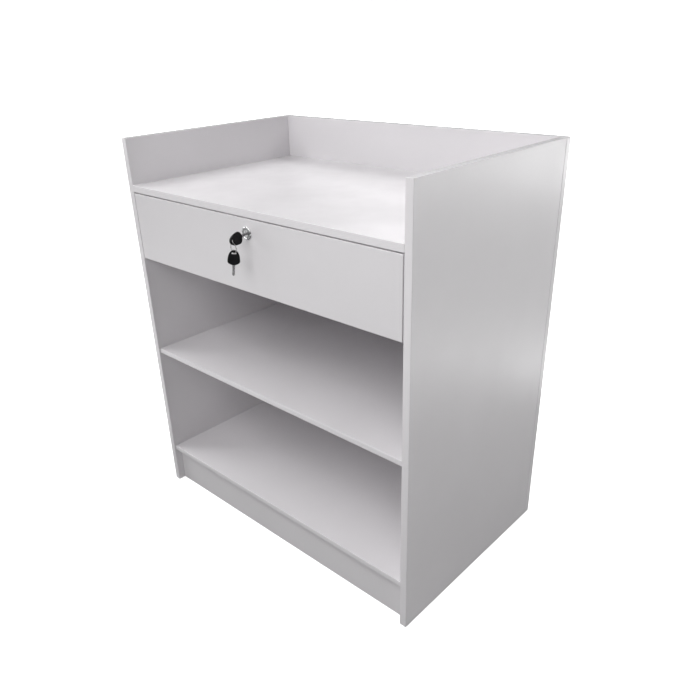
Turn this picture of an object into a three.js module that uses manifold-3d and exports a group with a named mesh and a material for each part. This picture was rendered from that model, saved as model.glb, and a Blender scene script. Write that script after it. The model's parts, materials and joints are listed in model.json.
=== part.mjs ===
// Checkout counter: a flat-pack cash desk of melamine board. The clerk's side (-Y) has a lockable drawer
// over two open shelves, and the sides and the customer's side rise past the top as a low gallery.
// Millimetres, +Z up. The origin is on the floor, at the middle of the footprint with the keys counted in.
import * as THREE from 'three';
import { mergeVertices } from 'three/addons/utils/BufferGeometryUtils.js';
import Module from 'manifold-3d';

const wasm = await Module();
wasm.setup();

// ---- Driving dimensions ----
const WIDTH = 800;
const DEPTH = 500;
const HEIGHT = 900;
const BOARD = 16; // side panels, customer's side, toe kick and drawer front
const TOP_BOARD = 15;
const SHELF_BOARD = 12;
const GALLERY = 101; // rise of the panels above the counter top
const MIDDLE_SHELF_TOP = 396;
const BOTTOM_SHELF_TOP = 108;
const SHELF_SETBACK = 4;
const KICK_SETBACK = 18;
const HAIRLINE = 0.2; // gap at a tight joint between two pieces
const CLEAR = 0.3; // gap round a piece that sits in a hole

const REVEAL = 2.5; // gap round the drawer front
const DRAWER_FRONT_HEIGHT = 150;
const DRAWER_BOARD = 12;
const DRAWER_SIDE_HEIGHT = 100;
const DRAWER_SIDE_LIFT = 12; // drawer sides above the lower edge of the drawer front
const DRAWER_PANEL = 3; // hardboard bottom
const DRAWER_PANEL_LIFT = 10; // groove above the lower edge of the drawer sides
const GROOVE_DEPTH = 5.5;

const SLIDE_LENGTH = 450;
const SLIDE_SPACE = 13; // width that a slide fills on each side of the drawer
const SLIDE_LIFT = 37; // slide's centre line above the lower edge of the drawer sides
const STEEL = 1.2; // rail sheet

const LOCK_DROP = 27.5; // lock axis below the top edge of the drawer front
const BOLT_THROW = 9; // rise of the bolt over half a turn of the plug
const LOCK_OFFSET = 5; // lock axis to the right of the drawer front's middle
const KEY_REACH = 47; // keys in front of the clerk's-side edges
const KEY_SAG = THREE.MathUtils.degToRad(11); // a key pushed partly home droops in its keyway
const RING_YAW = THREE.MathUtils.degToRad(-8);
const SPARE_YAW = THREE.MathUtils.degToRad(-31); // further turn of the spare key on the ring
const SPARE_TILT = THREE.MathUtils.degToRad(-6.5); // lean of the spare key in its own plane

// ---- Places worked out from them ----
const FRONT = (KEY_REACH - DEPTH) / 2;
const BACK = FRONT + DEPTH;
const INNER_BACK = BACK - BOARD;
const INNER_X = WIDTH / 2 - BOARD;
const BOARD_END = INNER_X - HAIRLINE; // end of a board that runs between the side panels
const BOARD_REAR = INNER_BACK - HAIRLINE;
const TOP_Z = HEIGHT - GALLERY;
const TOP_UNDERSIDE = TOP_Z - TOP_BOARD;
const DRAWER_TOP = TOP_UNDERSIDE - REVEAL;
const DRAWER_LOW = DRAWER_TOP - DRAWER_FRONT_HEIGHT;
const LOCK_Z = DRAWER_TOP - LOCK_DROP;
const SIDES = [['left', -1], ['right', 1]];
const ENDS = ['front', 'rear'];

const FINISHES = {
  laminate: { color: 0xe6e3e6, roughness: 0.38, metalness: 0 },
  hardboard: { color: 0xd8d2c6, roughness: 0.6, metalness: 0 },
  zinc: { color: 0xc2c4c6, roughness: 0.35, metalness: 1 },
  die_cast: { color: 0xa9abad, roughness: 0.45, metalness: 1 },
  chrome: { color: 0xd9dadb, roughness: 0.12, metalness: 1 },
  nickel: { color: 0xbfbfba, roughness: 0.28, metalness: 1 },
  black_plastic: { color: 0x141216, roughness: 0.42, metalness: 0 },
};

// ---- Solids ----
function toSolid(geometry) {
  const bare = geometry.clone();
  bare.deleteAttribute('normal');
  bare.deleteAttribute('uv');
  const merged = mergeVertices(bare, 1e-4);
  return new wasm.Manifold(new wasm.Mesh({
    numProp: 3,
    vertProperties: new Float32Array(merged.attributes.position.array),
    triVerts: new Uint32Array(merged.index.array),
  }));
}

function toGeometry(solid) {
  const mesh = solid.getMesh();
  const geometry = new THREE.BufferGeometry();
  geometry.setAttribute('position', new THREE.BufferAttribute(mesh.vertProperties, 3));
  geometry.setIndex(new THREE.BufferAttribute(mesh.triVerts, 1));
  return geometry;
}

function cut(geometry, tools) {
  let solid = toSolid(geometry);
  for (const tool of tools) {
    solid = solid.subtract(toSolid(tool));
  }
  return toGeometry(solid);
}

function join(first, ...others) {
  let solid = toSolid(first);
  for (const other of others) {
    solid = solid.add(toSolid(other));
  }
  return toGeometry(solid);
}

// A box between a low and a high value along each axis.
function block([x0, x1], [y0, y1], [z0, z1]) {
  const box = new THREE.BoxGeometry(x1 - x0, y1 - y0, z1 - z0);
  return box.translate((x0 + x1) / 2, (y0 + y1) / 2, (z0 + z1) / 2);
}

// Puts a shape made round the Y axis along another axis, through the point (a, b) of the other two.
function along(axis, geometry, [a, b]) {
  if (axis === 'x') {
    return geometry.rotateZ(-Math.PI / 2).translate(0, a, b);
  }
  if (axis === 'z') {
    return geometry.rotateX(Math.PI / 2).translate(a, b, 0);
  }
  return geometry.translate(a, 0, b);
}

function rod(axis, radius, [from, to], at, segments = 16) {
  const cylinder = new THREE.CylinderGeometry(radius, radius, to - from, segments);
  return along(axis, cylinder.translate(0, (from + to) / 2, 0), at);
}

// A turned piece: profile points are [radius, place along the axis], in rising order of place.
function turned(axis, profile, at, segments = 16) {
  const points = profile.map(([radius, place]) => new THREE.Vector2(radius, place));
  return along(axis, new THREE.LatheGeometry(points, segments), at);
}

// A flat piece across X, centred on x = 0: its outline's x runs up the Z axis and its y along the Y axis.
function plate(shape, thickness, curveSegments = 8) {
  const options = { depth: thickness, bevelEnabled: false, curveSegments };
  const flat = new THREE.ExtrudeGeometry(shape, options);
  return flat.translate(0, 0, -thickness / 2).rotateY(-Math.PI / 2);
}

// A named piece whose mesh is centred on its own position.
function piece(name, finish, geometry) {
  const mesh = new THREE.Mesh(geometry, new THREE.MeshStandardMaterial(FINISHES[finish]));
  geometry.computeBoundingBox();
  geometry.boundingBox.getCenter(mesh.position);
  geometry.translate(-mesh.position.x, -mesh.position.y, -mesh.position.z);
  mesh.name = name;
  return mesh;
}

function group(...pieces) {
  const holder = new THREE.Group();
  holder.add(...pieces);
  return holder;
}

function span(a, b) {
  return [Math.min(a, b), Math.max(a, b)];
}

// ---- Cam fittings: a bolt tapped into one board, drawn tight by a cam in the other ----
const CAM = { radius: 7.2, inset: 34, recess: 3.2, channel: 3.6 };
const BOLT = { thread: 2.5, threadDepth: 10.5, collar: 3.5, shank: 2.1, head: 3, headLength: 4 };

// In the fitting's own frame the cam's face looks along +Z at z = 0, and the bolt runs along +X.
function camBody(axisDepth) {
  const height = axisDepth + CAM.channel + 0.8;
  const body = rod('z', CAM.radius, [-height, 0], [0, 0], 24);
  const channel = rod('x', CAM.channel, [-CAM.channel, CAM.radius + 1], [0, -axisDepth], 12);
  const slots = [
    block([-CAM.recess, CAM.recess], [-0.7, 0.7], [-2, 1]),
    block([-0.7, 0.7], [-CAM.recess, CAM.recess], [-2, 1]),
  ];
  return cut(body, [channel, ...slots]);
}

function camBolt(axisDepth) {
  const face = CAM.inset + HAIRLINE;
  return turned('x', [
    [0, -BOLT.headLength / 2],
    [BOLT.head, -BOLT.headLength / 2],
    [BOLT.head, BOLT.headLength / 2],
    [BOLT.shank, BOLT.headLength / 2],
    [BOLT.shank, face - 2],
    [BOLT.collar, face - 2],
    [BOLT.collar, face - HAIRLINE],
    [BOLT.thread, face - HAIRLINE],
    [BOLT.thread, face + BOLT.threadDepth],
    [0, face + BOLT.threadDepth],
  ], [0, -axisDepth], 12);
}

// at: the cam's centre on its board's face; facing: the way that face looks; towards: the way to the other board.
function camFitting(name, at, facing, towards, thickness) {
  const axisDepth = thickness / 2;
  const across = new THREE.Vector3().crossVectors(facing, towards);
  const frame = new THREE.Matrix4().makeBasis(towards, across, facing).setPosition(at);
  const face = CAM.inset + HAIRLINE;
  const pocketDepth = axisDepth + CAM.channel + 1.1;
  const pocket = rod('z', CAM.radius + CLEAR, [-pocketDepth, 1], [0, 0], 24);
  const edgeHole = rod('x', BOLT.collar + 0.4, [0, face + 1], [0, -axisDepth], 12);
  const tapped = rod('x', BOLT.thread + CLEAR, [face - 1, face + BOLT.threadDepth + 0.5], [0, -axisDepth], 12);
  const fitting = group(
    piece(`${name}_cam`, 'zinc', camBody(axisDepth)),
    piece(`${name}_bolt`, 'zinc', camBolt(axisDepth)),
  );
  fitting.applyMatrix4(frame);
  return {
    fitting,
    inBoard: [pocket.applyMatrix4(frame), edgeHole.applyMatrix4(frame)],
    inMate: [tapped.applyMatrix4(frame)],
  };
}

// The four fittings under a board that runs between the side panels.
function boardFittings(name, underside, thickness) {
  const rows = { front: FRONT + 50, rear: INNER_BACK - 50 };
  const down = new THREE.Vector3(0, 0, -1);
  return SIDES.flatMap(([side, sign]) => ENDS.map((end) => ({
    side,
    ...camFitting(
      `${name}_${side}_${end}`,
      new THREE.Vector3(sign * (BOARD_END - CAM.inset), rows[end], underside),
      down,
      new THREE.Vector3(sign, 0, 0),
      thickness,
    ),
  })));
}

// ---- Shelf pins ----
const PIN = { radius: 2.5, depth: 8.5, flange: 4.5, flangeWidth: 1.5, support: 3.3, length: 9 };

function shelfPin(side, sign, end) {
  const at = [
    end === 'front' ? FRONT + SHELF_SETBACK + 45 : INNER_BACK - 45,
    MIDDLE_SHELF_TOP - SHELF_BOARD - CLEAR - PIN.support,
  ];
  const pin = turned('x', [
    [0, -PIN.length],
    [PIN.support, -PIN.length],
    [PIN.support, -PIN.flangeWidth],
    [PIN.flange, -PIN.flangeWidth],
    [PIN.flange, -HAIRLINE],
    [PIN.radius, -HAIRLINE],
    [PIN.radius, PIN.depth],
    [0, PIN.depth],
  ], [0, 0], 12);
  const hole = rod('x', PIN.radius + CLEAR, [-1, PIN.depth + 0.5], [0, 0], 12);
  const turn = sign > 0 ? 0 : Math.PI;
  for (const geometry of [pin, hole]) {
    geometry.rotateZ(turn).translate(sign * INNER_X, ...at);
  }
  // The flange is wider than the gap under the shelf, so its upper side is ground flat.
  const flat = block(
    span(sign * (INNER_X - PIN.length - 1), sign * INNER_X),
    [at[0] - 10, at[0] + 10],
    [at[1] + PIN.support, at[1] + 10],
  );
  return { side, pin: piece(`shelf_pin_${side}_${end}`, 'nickel', cut(pin, [flat])), hole };
}

// ---- Carcass ----
function sidePanel(side, sign, holes) {
  const panel = block(span(sign * INNER_X, sign * WIDTH / 2), [FRONT, BOARD_REAR], [0, HEIGHT]);
  return piece(`${side}_side_panel`, 'laminate', cut(panel, holes));
}

function acrossBoard(front, [low, high]) {
  return block([-BOARD_END, BOARD_END], [front, BOARD_REAR], [low, high]);
}

const STRIKE = { length: 48, width: 15, thickness: 1.2, middle: 21 };

// A stretch of X that reaches as far to each side of the lock axis.
function aboutLock(reach) {
  return [LOCK_OFFSET - reach, LOCK_OFFSET + reach];
}

// The slot that takes the lock's bolt, and the shallow bed of its strike plate.
function strikeSlot() {
  const y = FRONT + STRIKE.middle;
  return [
    block(aboutLock(14), [y - 3.6, y + 3.6], [TOP_UNDERSIDE - 1, TOP_UNDERSIDE + BOLT_THROW]),
    block(
      aboutLock(STRIKE.length / 2 + CLEAR),
      [y - STRIKE.width / 2 - CLEAR, y + STRIKE.width / 2 + CLEAR],
      [TOP_UNDERSIDE - 1, TOP_UNDERSIDE + STRIKE.thickness + CLEAR],
    ),
  ];
}

function strikePlate() {
  const y = FRONT + STRIKE.middle;
  const half = STRIKE.length / 2;
  const sheet = block(
    aboutLock(half),
    [y - STRIKE.width / 2, y + STRIKE.width / 2],
    [TOP_UNDERSIDE, TOP_UNDERSIDE + STRIKE.thickness],
  );
  const level = [TOP_UNDERSIDE - 1, TOP_UNDERSIDE + STRIKE.thickness + 1];
  const mouth = block(aboutLock(13.4), [y - 3.2, y + 3.2], level);
  const screwHoles = aboutLock(half - 4.5).map((x) => rod('z', 1.8, level, [x, y], 12));
  return piece('lock_strike_plate', 'zinc', cut(sheet, [mouth, ...screwHoles]));
}

function carcass() {
  const shelfUnderside = BOTTOM_SHELF_TOP - SHELF_BOARD;
  const topFittings = boardFittings('counter_top', TOP_UNDERSIDE, TOP_BOARD);
  const shelfFittings = boardFittings('bottom_shelf', shelfUnderside, SHELF_BOARD);
  const fittings = [...topFittings, ...shelfFittings];
  const pins = SIDES.flatMap(([side, sign]) => ENDS.map((end) => shelfPin(side, sign, end)));
  const drilled = (list) => list.flatMap((entry) => entry.inBoard);

  const sidePanels = SIDES.map(([side, sign]) => sidePanel(side, sign, [
    ...fittings.filter((entry) => entry.side === side).flatMap((entry) => entry.inMate),
    ...pins.filter((entry) => entry.side === side).map((entry) => entry.hole),
  ]));
  const top = acrossBoard(FRONT, [TOP_UNDERSIDE, TOP_Z]);
  const middle = acrossBoard(FRONT + SHELF_SETBACK, [MIDDLE_SHELF_TOP - SHELF_BOARD, MIDDLE_SHELF_TOP]);
  const bottom = acrossBoard(FRONT + SHELF_SETBACK, [shelfUnderside, BOTTOM_SHELF_TOP]);
  const kick = block(
    [-BOARD_END, BOARD_END],
    [FRONT + KICK_SETBACK, FRONT + KICK_SETBACK + BOARD],
    [0, shelfUnderside - HAIRLINE],
  );
  const customer = block([-WIDTH / 2, WIDTH / 2], [INNER_BACK, BACK], [0, HEIGHT]);
  return group(
    ...sidePanels,
    piece('customer_panel', 'laminate', customer),
    piece('counter_top', 'laminate', cut(top, [...drilled(topFittings), ...strikeSlot()])),
    piece('middle_shelf', 'laminate', middle),
    piece('bottom_shelf', 'laminate', cut(bottom, drilled(shelfFittings))),
    piece('toe_kick', 'laminate', kick),
    strikePlate(),
    ...pins.map((entry) => entry.pin),
    ...fittings.map((entry) => entry.fitting),
  );
}

// ---- Drawer slides: three rails that nest, with a ball cage between each pair ----
// A channel section: x is the distance from the side panel and y the height from the slide's centre line.
// Its web stands at x = web, its two flanges run to x = edge and end in lips that turn inwards.
function channel(web, edge, halfHeight, sheet, lip = sheet) {
  const inward = Math.sign(edge - web);
  const half = [
    [web, halfHeight],
    [edge, halfHeight],
    [edge, halfHeight - lip],
    [edge - inward * sheet, halfHeight - lip],
    [edge - inward * sheet, halfHeight - sheet],
    [web + inward * sheet, halfHeight - sheet],
  ];
  const upper = lip > sheet ? half : [...half.slice(0, 2), [edge, halfHeight - sheet], half[5]];
  const lower = upper.map(([x, y]) => [x, -y]).reverse();
  return new THREE.Shape([...upper, ...lower].map(([x, y]) => new THREE.Vector2(x, y)));
}

function rail(section, [from, to]) {
  const flat = new THREE.ExtrudeGeometry(section, { depth: to - from, bevelEnabled: false });
  return flat.rotateX(Math.PI / 2).translate(0, to, 0);
}

function slide(side, sign) {
  const rear = SLIDE_LENGTH + 2.5;
  const cage = [SLIDE_LENGTH / 2 - 95, SLIDE_LENGTH / 2 + 105];
  const parts = group(
    piece(`${side}_slide_cabinet_rail`, 'zinc', rail(channel(0.2, 12.2, 22.75, STEEL, 2.6), [2.5, rear])),
    piece(`${side}_slide_outer_ball_cage`, 'zinc', rail(channel(1.8, 10.6, 19.5, 0.5), cage)),
    piece(`${side}_slide_middle_rail`, 'zinc', rail(channel(2.8, 11.4, 16.9, STEEL), [3.5, rear - 3])),
    piece(`${side}_slide_inner_ball_cage`, 'zinc', rail(channel(4.5, 10.2, 13.5, 0.5), cage)),
    piece(`${side}_slide_drawer_rail`, 'zinc', rail(channel(12.8, 5.6, 10.8, STEEL), [0.5, rear - 2])),
  );
  parts.position.set(sign * INNER_X, FRONT + BOARD, DRAWER_LOW + DRAWER_SIDE_LIFT + SLIDE_LIFT);
  parts.scale.x = -sign;
  return parts;
}

// ---- Drawer ----
const LOCK_BARREL = 9.5;
const LOCK_SCREW = { x: 18, z: 6, radius: 1.5, length: 10 };

function drawer() {
  const outer = INNER_X - SLIDE_SPACE;
  const inner = outer - DRAWER_BOARD;
  const boxFront = FRONT + BOARD;
  const boxRear = boxFront + SLIDE_LENGTH;
  const low = DRAWER_LOW + DRAWER_SIDE_LIFT;
  const high = low + DRAWER_SIDE_HEIGHT;
  const panelLow = low + DRAWER_PANEL_LIFT;
  const backFace = boxRear - DRAWER_BOARD;

  const fittings = SIDES.map(([side, sign]) => camFitting(
    `drawer_${side}`,
    new THREE.Vector3(sign * inner, boxFront + HAIRLINE + CAM.inset, low + 65),
    new THREE.Vector3(-sign, 0, 0),
    new THREE.Vector3(0, -1, 0),
    DRAWER_BOARD,
  ));
  const groove = block(
    [-inner - GROOVE_DEPTH, inner + GROOVE_DEPTH],
    [boxFront - GROOVE_DEPTH, backFace + GROOVE_DEPTH],
    [panelLow, panelLow + DRAWER_PANEL + 2 * CLEAR],
  );
  const bottom = block(
    [-inner - GROOVE_DEPTH + 0.5, inner + GROOVE_DEPTH - 0.5],
    [boxFront - GROOVE_DEPTH + 0.5, backFace + GROOVE_DEPTH - 0.5],
    [panelLow + CLEAR, panelLow + CLEAR + DRAWER_PANEL],
  );
  const front = block(
    [-INNER_X + REVEAL, INNER_X - REVEAL],
    [FRONT, boxFront],
    [DRAWER_LOW, DRAWER_TOP],
  );
  const barrelHole = rod('y', LOCK_BARREL + 0.5, [FRONT - 1, boxFront + 1], [LOCK_OFFSET, LOCK_Z], 24);
  const screwHoles = aboutLock(LOCK_SCREW.x).map((x) => rod(
    'y',
    LOCK_SCREW.radius + CLEAR,
    [boxFront - LOCK_SCREW.length - 0.5, boxFront + 1],
    [x, LOCK_Z + LOCK_SCREW.z],
    12,
  ));
  const rear = block([-inner + HAIRLINE, inner - HAIRLINE], [backFace, boxRear], [low, high]);
  const sideBoards = SIDES.map(([side, sign], index) => {
    const box = block(span(sign * inner, sign * outer), [boxFront + HAIRLINE, boxRear], [low, high]);
    return piece(`drawer_${side}_side`, 'laminate', cut(box, [...fittings[index].inBoard, groove]));
  });
  const tapped = fittings.flatMap((entry) => entry.inMate);
  return group(
    piece('drawer_front', 'laminate', cut(front, [groove, barrelHole, ...screwHoles, ...tapped])),
    ...sideBoards,
    piece('drawer_back', 'laminate', cut(rear, [groove])),
    piece('drawer_bottom', 'hardboard', bottom),
    ...fittings.map((entry) => entry.fitting),
  );
}

// ---- Drawer lock: half a turn of the plug lifts the bolt into the strike plate ----
// Its own frame is on the lock axis at the drawer front's face, with +Y going into the drawer.
const LOCK = { plug: 6.3, face: -2.6, plateBack: 17.7, caseBack: 24.4, low: -13, high: 26, half: 15 };
const CRANK = BOLT_THROW / 2;
const BOLT_Y = [LOCK.plateBack + 1, LOCK.caseBack - 1];

function lockCase() {
  const { low, high, half, plateBack, caseBack } = LOCK;
  const barrel = rod('y', LOCK_BARREL, [-2, plateBack], [0, 0], 32);
  const flange = block([-21.5, 21.5], [BOARD + HAIRLINE, plateBack], [low, high]);
  const box = block([-half, half], [BOARD + HAIRLINE, caseBack], [low, high]);
  const bore = rod('y', LOCK.plug + CLEAR, [-3, caseBack + 1], [0, 0], 32);
  const cavity = block([-half + 2.5, half - 2.5], [plateBack + 0.5, caseBack + 1], [low + 2.5, high + 1]);
  const screwHoles = [-1, 1].map((sign) => (
    rod('y', LOCK_SCREW.radius + CLEAR, [BOARD, plateBack + 1], [sign * LOCK_SCREW.x, LOCK_SCREW.z], 12)
  ));
  const body = join(barrel, flange, box);
  return piece('lock_case', 'die_cast', cut(body, [bore, cavity, ...screwHoles]));
}

function lockPlug() {
  const body = rod('y', LOCK.plug, [LOCK.face, LOCK.plateBack], [0, 0], 32);
  const keyway = block([-1.3, 1.3], [LOCK.face - 1, 14], [-4, 4]);
  const crankPin = rod('y', 1.5, [LOCK.plateBack - 1, BOLT_Y[1] + 0.5], [0, -CRANK], 12);
  return piece('lock_plug', 'chrome', join(cut(body, [keyway]), crankPin));
}

function lockBolt() {
  const half = LOCK.half - 2.5 - CLEAR;
  const body = block([-half, half], BOLT_Y, [-CRANK - 5.4, LOCK.high + CLEAR]);
  const crankSlot = block([-6.5, 6.5], [BOLT_Y[0] - 1, BOLT_Y[1] + 1], [-CRANK - 2.9, -CRANK + 2.9]);
  return piece('lock_bolt', 'zinc', cut(body, [crankSlot]));
}

function lockBackPlate() {
  const { low, high, half, caseBack } = LOCK;
  const sheet = block([-half, half], [caseBack + HAIRLINE, caseBack + HAIRLINE + STEEL], [low, high]);
  return piece('lock_back_plate', 'zinc', sheet);
}

function lockRosette() {
  const inner = LOCK_BARREL + CLEAR;
  return piece('lock_rosette', 'chrome', turned('y', [
    [inner, LOCK.face],
    [11.4, LOCK.face],
    [12.5, LOCK.face + 0.7],
    [13, LOCK.face + 1.6],
    [13, -HAIRLINE],
    [inner, -HAIRLINE],
    [inner, LOCK.face],
  ], [0, 0], 32));
}

function lockScrew(side, sign) {
  const face = LOCK.plateBack + HAIRLINE;
  const screw = turned('y', [
    [0, BOARD - LOCK_SCREW.length],
    [LOCK_SCREW.radius, BOARD - LOCK_SCREW.length + 2],
    [LOCK_SCREW.radius, face],
    [2.9, face],
    [2.4, face + 1.5],
    [0, face + 1.9],
  ], [sign * LOCK_SCREW.x, LOCK_SCREW.z], 12);
  const x = sign * LOCK_SCREW.x;
  const slots = [
    block([x - 1.6, x + 1.6], [face + 1, face + 3], [LOCK_SCREW.z - 0.4, LOCK_SCREW.z + 0.4]),
    block([x - 0.4, x + 0.4], [face + 1, face + 3], [LOCK_SCREW.z - 1.6, LOCK_SCREW.z + 1.6]),
  ];
  return piece(`lock_screw_${side}`, 'zinc', cut(screw, slots));
}

// ---- Keys ----
// A key's own frame: the plug's face is at y = 0, the blade's tip at y = blade and the bow at y < 0.
const KEY = { thickness: 2, half: 2.7, tip: 10, neck: 11, tang: 9, notch: 1 };
const BOW = { length: 29.4, half: 12, thickness: 5.6, hole: 23.4, holeHalf: 4.8, holeRadius: 2 };

function keyBlade(name) {
  const { half, tip, neck, tang, notch } = KEY;
  const edge = [[-neck - tang, half - 0.7], [-neck - 1, half - 0.7], [-neck - 1, half]];
  for (let y = 0.5; y < tip - 4; y += 3) {
    edge.push([y, half], [y + 0.8, half - notch], [y + 1.6, half - notch], [y + 2.4, half]);
  }
  edge.push([tip - 2.5, half], [tip, 0.8]);
  const mirrored = edge.map(([y, z]) => [y, -z]).reverse();
  const outline = new THREE.Shape([...mirrored, ...edge].map(([y, z]) => new THREE.Vector2(z, y)));
  return piece(`${name}_blade`, 'nickel', plate(outline, KEY.thickness));
}

// The moulded bow: a slightly bowed shoulder, full cheeks and a dome with a slot for the ring.
function bowOutline() {
  const { length, half, hole, holeHalf, holeRadius } = BOW;
  const shape = new THREE.Shape();
  shape.moveTo(-half + 3.2, -3.2);
  shape.quadraticCurveTo(0, 2.4, half - 3.2, -3.2);
  shape.quadraticCurveTo(half, -4.8, half, -8);
  shape.bezierCurveTo(half + 0.2, -length * 0.56, half * 0.76, -length, 0, -length);
  shape.bezierCurveTo(-half * 0.76, -length, -half - 0.2, -length * 0.56, -half, -8);
  shape.quadraticCurveTo(-half, -4.8, -half + 3.2, -3.2);
  const slot = new THREE.Path();
  const end = holeHalf - holeRadius;
  slot.absarc(end, -hole, holeRadius, -Math.PI / 2, Math.PI / 2);
  slot.absarc(-end, -hole, holeRadius, Math.PI / 2, Math.PI * 1.5);
  slot.closePath();
  shape.holes.push(slot);
  return shape;
}

function keyBow(name) {
  const solid = plate(bowOutline(), BOW.thickness).translate(0, -KEY.neck, 0);
  const socket = block(
    [-KEY.thickness / 2 - 0.2, KEY.thickness / 2 + 0.2],
    [-KEY.neck - KEY.tang - 0.4, -KEY.neck + 2],
    [-KEY.half + 0.4, KEY.half - 0.4],
  );
  const throat = block(
    [-KEY.thickness / 2 - 0.2, KEY.thickness / 2 + 0.2],
    [-KEY.neck - 1.3, -KEY.neck + 2],
    [-KEY.half - 0.3, KEY.half + 0.3],
  );
  return piece(`${name}_bow`, 'black_plastic', cut(solid, [socket, throat]));
}

// ---- Split ring: hangs in the lower end of the first key's slot, with the spare key on its lowest point ----
const RING = { radius: 10, wire: 0.8, play: 0.7 };
const RING_IN_KEY = {
  y: -KEY.neck - BOW.hole,
  z: -BOW.holeHalf + RING.wire + RING.play,
};

function splitRing() {
  const torus = new THREE.TorusGeometry(RING.radius, RING.wire, 8, 32);
  return piece('split_ring', 'nickel', torus.rotateX(Math.PI / 2));
}

function keys() {
  const key = group(keyBlade('key'), keyBow('key'));
  key.position.set(0, LOCK.face, -0.9);
  key.rotation.x = KEY_SAG;

  const ring = group(splitRing());
  const hang = new THREE.Vector3(0, RING_IN_KEY.y, RING_IN_KEY.z);
  key.updateMatrix();
  hang.applyMatrix4(key.matrix);
  ring.position.set(hang.x, hang.y, hang.z - RING.radius);
  ring.rotation.z = RING_YAW;

  // The spare key hangs blade down, from the dome end of its slot.
  const spare = group(keyBlade('spare_key'), keyBow('spare_key'));
  const slotTop = KEY.neck + BOW.hole + BOW.holeRadius - RING.wire - RING.play;
  spare.rotation.set(SPARE_TILT - Math.PI / 2, 0, SPARE_YAW, 'ZXY');
  const hook = new THREE.Vector3(0, -slotTop, 0).applyEuler(spare.rotation);
  spare.position.set(0, 0, -RING.radius).sub(hook);
  ring.add(spare);
  return [key, ring];
}

function lock() {
  const assembly = group(
    lockCase(),
    lockBackPlate(),
    lockRosette(),
    lockPlug(),
    lockBolt(),
    ...SIDES.map(([side, sign]) => lockScrew(side, sign)),
    ...keys(),
  );
  assembly.position.set(LOCK_OFFSET, FRONT, LOCK_Z);
  return assembly;
}

export default group(
  carcass(),
  ...SIDES.map(([side, sign]) => slide(side, sign)),
  drawer(),
  lock(),
);
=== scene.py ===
"""The looks of a white melamine checkout counter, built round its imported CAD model. Metres, +Z up."""

import json
import math

import bmesh
import bpy
from mathutils import Matrix, Vector

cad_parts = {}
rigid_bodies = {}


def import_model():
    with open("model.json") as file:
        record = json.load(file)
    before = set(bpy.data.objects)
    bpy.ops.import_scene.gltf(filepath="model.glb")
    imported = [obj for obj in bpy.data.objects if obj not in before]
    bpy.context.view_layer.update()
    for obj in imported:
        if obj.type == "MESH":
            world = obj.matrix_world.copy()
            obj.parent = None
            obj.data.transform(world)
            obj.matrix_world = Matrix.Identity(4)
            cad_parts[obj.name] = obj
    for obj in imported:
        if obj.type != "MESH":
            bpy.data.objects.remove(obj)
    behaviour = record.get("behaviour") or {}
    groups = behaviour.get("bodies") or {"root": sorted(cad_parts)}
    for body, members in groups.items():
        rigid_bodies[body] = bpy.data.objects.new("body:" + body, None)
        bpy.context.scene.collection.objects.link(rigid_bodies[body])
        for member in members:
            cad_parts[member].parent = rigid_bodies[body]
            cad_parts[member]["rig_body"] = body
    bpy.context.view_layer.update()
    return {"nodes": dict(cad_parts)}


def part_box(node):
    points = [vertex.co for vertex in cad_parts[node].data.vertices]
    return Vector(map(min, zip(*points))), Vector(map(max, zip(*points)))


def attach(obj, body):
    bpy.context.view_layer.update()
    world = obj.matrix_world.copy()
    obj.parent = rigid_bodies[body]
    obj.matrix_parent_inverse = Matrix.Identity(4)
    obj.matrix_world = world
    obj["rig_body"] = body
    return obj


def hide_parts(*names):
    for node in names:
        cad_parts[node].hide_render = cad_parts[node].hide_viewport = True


MM = 0.001
SIDES = (("left", -1), ("right", 1))
ENDS = ("front", "rear")

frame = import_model()
SCENE = bpy.context.scene

# ---- Camera: fitted to the counter's edges in the photo, then rounded ----
CAMERA_PLACE = Vector((1.0066, -1.0314, 1.0938))
CAMERA_YAW = math.radians(43.58)
CAMERA_PITCH = math.radians(25.96)  # below the horizon
CAMERA_ROLL = math.radians(-1.82)
CAMERA_LENS = 34.82
CAMERA_SHIFT = (0.0136, 0.0172)


def make_camera():
    data = bpy.data.cameras.new("camera")
    data.sensor_width = 36
    data.lens = CAMERA_LENS
    data.shift_x, data.shift_y = CAMERA_SHIFT
    camera = bpy.data.objects.new("camera", data)
    SCENE.collection.objects.link(camera)
    turn = (
        Matrix.Rotation(CAMERA_YAW, 4, "Z")
        @ Matrix.Rotation(math.pi / 2 - CAMERA_PITCH, 4, "X")
        @ Matrix.Rotation(CAMERA_ROLL, 4, "Z")
    )
    camera.matrix_world = Matrix.Translation(CAMERA_PLACE) @ turn
    SCENE.camera = camera


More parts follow.
